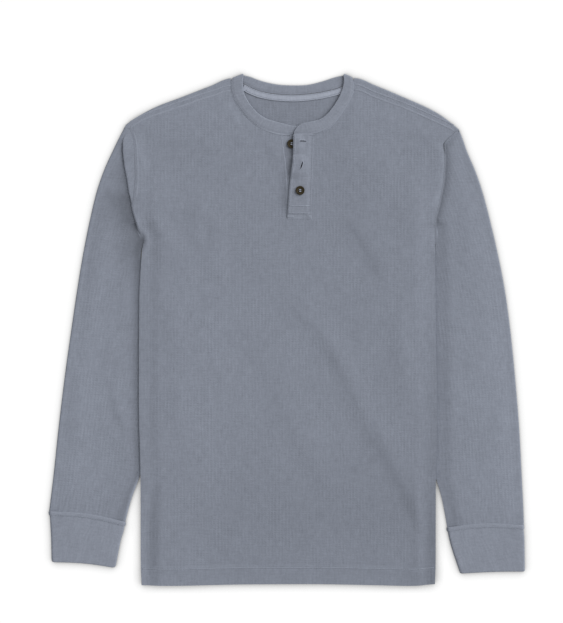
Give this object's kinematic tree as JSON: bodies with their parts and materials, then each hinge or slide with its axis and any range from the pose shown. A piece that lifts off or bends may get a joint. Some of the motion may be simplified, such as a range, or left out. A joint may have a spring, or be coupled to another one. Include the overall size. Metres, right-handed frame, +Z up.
{
  "type": "henley shirt",
  "caption": "Long-sleeved knit henley shirt laid flat on its back, with a band collar, a buttoned half placket, long sleeves with cuffs and a turned-up hem.",
  "frame": {"origin": "on the surface the shirt lies on, under the middle of its outline", "axes": "+Y towards the collar, +X to the right of someone looking down at the front, +Z up from the surface"},
  "size_m": [0.6905, 0.7424, 0.0103],
  "materials": {
    "waffle": "matte waffle knit, slate grey-blue",
    "rib": "matte fine rib knit, slate grey-blue",
    "tape": "matte woven tape, pale slate",
    "button": "satin dark brown horn-look resin"
  },
  "bodies": {
    "root": {"front": "waffle", "back": "waffle", "sleeve_left": "waffle", "sleeve_right": "waffle", "cuff_left": "rib", "cuff_right": "rib", "neckband": "rib", "neck_tape": "tape", "placket_over": "rib", "placket_under": "rib", "button_top": "button", "button_middle": "button", "button_bottom": "button"}
  },
  "joints": []
}
